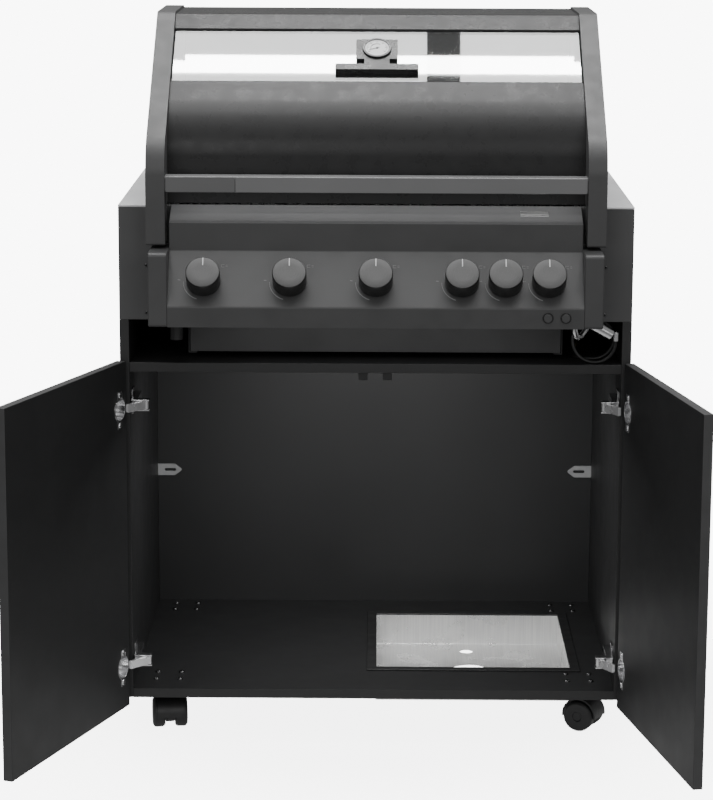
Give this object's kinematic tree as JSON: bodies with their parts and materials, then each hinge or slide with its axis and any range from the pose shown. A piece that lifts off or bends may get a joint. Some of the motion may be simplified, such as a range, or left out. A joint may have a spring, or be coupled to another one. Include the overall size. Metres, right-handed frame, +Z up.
{
  "type": "gas barbecue grill",
  "caption": "Gas grill with a glass-fronted hood and angled control panel, built into a black two-door cabinet module on twin-wheel casters, with drip tray and gas bottle well.",
  "frame": {"origin": "on the floor, under the middle of the front face of the cabinet boards", "axes": "+X to the right across the front, +Y from front to back, +Z up"},
  "size_m": [1.0233, 0.9495, 1.148],
  "materials": {
    "black_board": "matt laminate",
    "fascia_steel": "fine texture powder coat",
    "worktop_steel": "matt powder coat",
    "cast_body": "matt powder coat over casting",
    "hood_sheet": "satin powder coat",
    "panel_sheet": "fine texture powder coat",
    "dark_steel": "black coat",
    "stainless": "brushed",
    "bright_steel": "nickel plated",
    "caster_plastic": "moulded",
    "caster_tread": "satin",
    "hood_glass": "clear",
    "seal": "matt",
    "handle_metal": "satin",
    "trim_metal": "brushed",
    "gauge_black": "gloss",
    "gauge_metal": "polished bezel with a pale dial",
    "knob_body": "satin moulding",
    "grate_iron": "enamelled",
    "brass": "machined",
    "pipe_steel": "polished",
    "hose_rubber": "satin"
  },
  "bodies": {
    "cabinet": {"side_panels": "black_board", "bottom_panel": "black_board", "shelf_panel": "black_board", "back_panel": "black_board", "fascia_plates": "fascia_steel", "lid_hinge_brackets": "fascia_steel", "worktop_strips": "worktop_steel", "base_castings": "cast_body", "control_panel": "panel_sheet", "caster_plates": "dark_steel", "support_rails": "dark_steel", "battery_holder": "dark_steel", "bottle_well": "stainless", "burners": "stainless", "heat_tents": "stainless", "firebox": "stainless", "warming_rack": "stainless", "hinge_arms": "bright_steel", "cabinet_fasteners": "bright_steel", "clips_and_catches": "bright_steel", "button_bezels": "gauge_metal", "cooking_grates": "grate_iron", "gas_valves": "brass", "hose_end_nut": "brass", "gas_manifold": "pipe_steel", "gas_inlet": "pipe_steel", "gas_hose": "hose_rubber"},
    "lid": {"lid_casting_left": "cast_body", "lid_casting_right": "cast_body", "lid_sheet": "hood_sheet", "lid_top_panel": "hood_sheet", "lid_glass": "hood_glass", "glass_seal": "seal", "handle_bar": "handle_metal", "handle_trim": "trim_metal", "thermometer_housing": "gauge_black", "thermometer_gauge": "gauge_metal"},
    "left_door": {"door_left": "black_board", "hinge_cups_left": "bright_steel"},
    "right_door": {"door_right": "black_board", "hinge_cups_right": "bright_steel"},
    "left_hinge_links": {"hinge_links_left": "bright_steel"},
    "right_hinge_links": {"hinge_links_right": "bright_steel"},
    "tray": {"drip_tray": "dark_steel"},
    "light_button": {"button_light": "knob_body"},
    "ignition_button": {"button_ignition": "knob_body"},
    "dial_1": {"knob_1": "knob_body"},
    "dial_2": {"knob_2": "knob_body"},
    "dial_3": {"knob_3": "knob_body"},
    "dial_4": {"knob_4": "knob_body"},
    "dial_5": {"knob_5": "knob_body"},
    "dial_6": {"knob_6": "knob_body"},
    "swivel_front_left": {"caster_swivel_front_left": "caster_plastic"},
    "wheels_front_left": {"caster_wheels_front_left": "caster_tread"},
    "swivel_front_right": {"caster_swivel_front_right": "caster_plastic"},
    "wheels_front_right": {"caster_wheels_front_right": "caster_tread"},
    "swivel_rear_left": {"caster_swivel_rear_left": "caster_plastic"},
    "wheels_rear_left": {"caster_wheels_rear_left": "caster_tread"},
    "swivel_rear_right": {"caster_swivel_rear_right": "caster_plastic"},
    "wheels_rear_right": {"caster_wheels_rear_right": "caster_tread"}
  },
  "joints": [
    {"name": "lid_hinge", "type": "hinge", "parent": "cabinet", "child": "lid", "pos_m": [0, 0.415, 0.9], "axis": [-1, 0, 0], "range_deg": [0, 85]},
    {"name": "left_door_hinge", "type": "hinge", "parent": "cabinet", "child": "left_door", "pos_m": [-0.4, -0.0124, 0.34], "axis": [0, 0, 1], "range_deg": [0, 110.5]},
    {"name": "right_door_hinge", "type": "hinge", "parent": "cabinet", "child": "right_door", "pos_m": [0.4, -0.0124, 0.34], "axis": [0, 0, -1], "range_deg": [-8.8, 101.2]},
    {"name": "left_link_pivot", "type": "hinge", "parent": "cabinet", "child": "left_hinge_links", "pos_m": [-0.36, 0.006, 0.34], "axis": [0, 0, 1], "range_deg": [0, 133.8]},
    {"name": "right_link_pivot", "type": "hinge", "parent": "cabinet", "child": "right_hinge_links", "pos_m": [0.36, 0.006, 0.34], "axis": [0, 0, -1], "range_deg": [-10.7, 122.5]},
    {"name": "drip_tray_slide", "type": "slide", "parent": "cabinet", "child": "tray", "axis": [0, -1, 0], "range_m": [0, 0.3]},
    {"name": "knob_1_turn", "type": "hinge", "parent": "cabinet", "child": "dial_1", "pos_m": [-0.262, -0.09346, 0.75709], "axis": [0, -0.7975, 0.6033], "range_deg": [0, 190]},
    {"name": "knob_2_turn", "type": "hinge", "parent": "cabinet", "child": "dial_2", "pos_m": [-0.131, -0.09346, 0.75709], "axis": [0, -0.7975, 0.6033], "range_deg": [0, 190]},
    {"name": "knob_3_turn", "type": "hinge", "parent": "cabinet", "child": "dial_3", "pos_m": [0, -0.09346, 0.75709], "axis": [0, -0.7975, 0.6033], "range_deg": [0, 190]},
    {"name": "knob_4_turn", "type": "hinge", "parent": "cabinet", "child": "dial_4", "pos_m": [0.131, -0.09346, 0.75709], "axis": [0, -0.7975, 0.6033], "range_deg": [0, 190]},
    {"name": "knob_5_turn", "type": "hinge", "parent": "cabinet", "child": "dial_5", "pos_m": [0.197, -0.09346, 0.75709], "axis": [0, -0.7975, 0.6033], "range_deg": [0, 190]},
    {"name": "knob_6_turn", "type": "hinge", "parent": "cabinet", "child": "dial_6", "pos_m": [0.263, -0.09346, 0.75709], "axis": [0, -0.7975, 0.6033], "range_deg": [0, 190]},
    {"name": "light_button_press", "type": "slide", "parent": "cabinet", "child": "light_button", "axis": [0, 1, 0], "range_m": [0, 0.003], "stiffness_N_per_m": 300},
    {"name": "ignition_button_press", "type": "slide", "parent": "cabinet", "child": "ignition_button", "axis": [0, 1, 0], "range_m": [0, 0.003], "stiffness_N_per_m": 300},
    {"name": "swivel_front_left_turn", "type": "hinge", "parent": "cabinet", "child": "swivel_front_left", "pos_m": [-0.333, 0.071, 0.06], "axis": [0, 0, 1], "continuous": true},
    {"name": "wheels_front_left_spin", "type": "hinge", "parent": "swivel_front_left", "child": "wheels_front_left", "pos_m": [-0.33147, 0.06011, 0.025], "axis": [0.9903, 0.1392, 0], "continuous": true},
    {"name": "swivel_front_right_turn", "type": "hinge", "parent": "cabinet", "child": "swivel_front_right", "pos_m": [0.333, 0.071, 0.06], "axis": [0, 0, 1], "continuous": true},
    {"name": "wheels_front_right_spin", "type": "hinge", "parent": "swivel_front_right", "child": "wheels_front_right", "pos_m": [0.34271, 0.06584, 0.025], "axis": [0.4695, 0.8829, 0], "continuous": true},
    {"name": "swivel_rear_left_turn", "type": "hinge", "parent": "cabinet", "child": "swivel_rear_left", "pos_m": [-0.333, 0.486, 0.06], "axis": [0, 0, 1], "continuous": true},
    {"name": "wheels_rear_left_spin", "type": "hinge", "parent": "swivel_rear_left", "child": "wheels_rear_left", "pos_m": [-0.33747, 0.47595, 0.025], "axis": [0.9135, -0.4067, 0], "continuous": true},
    {"name": "swivel_rear_right_turn", "type": "hinge", "parent": "cabinet", "child": "swivel_rear_right", "pos_m": [0.333, 0.486, 0.06], "axis": [0, 0, 1], "continuous": true},
    {"name": "wheels_rear_right_spin", "type": "hinge", "parent": "swivel_rear_right", "child": "wheels_rear_right", "pos_m": [0.33931, 0.47699, 0.025], "axis": [0.8192, 0.5736, 0], "continuous": true}
  ],
  "couplings": [
    {"joint": "left_link_pivot", "follows": "left_door_hinge", "ratio": 1.21},
    {"joint": "right_link_pivot", "follows": "right_door_hinge", "ratio": 1.21}
  ]
}
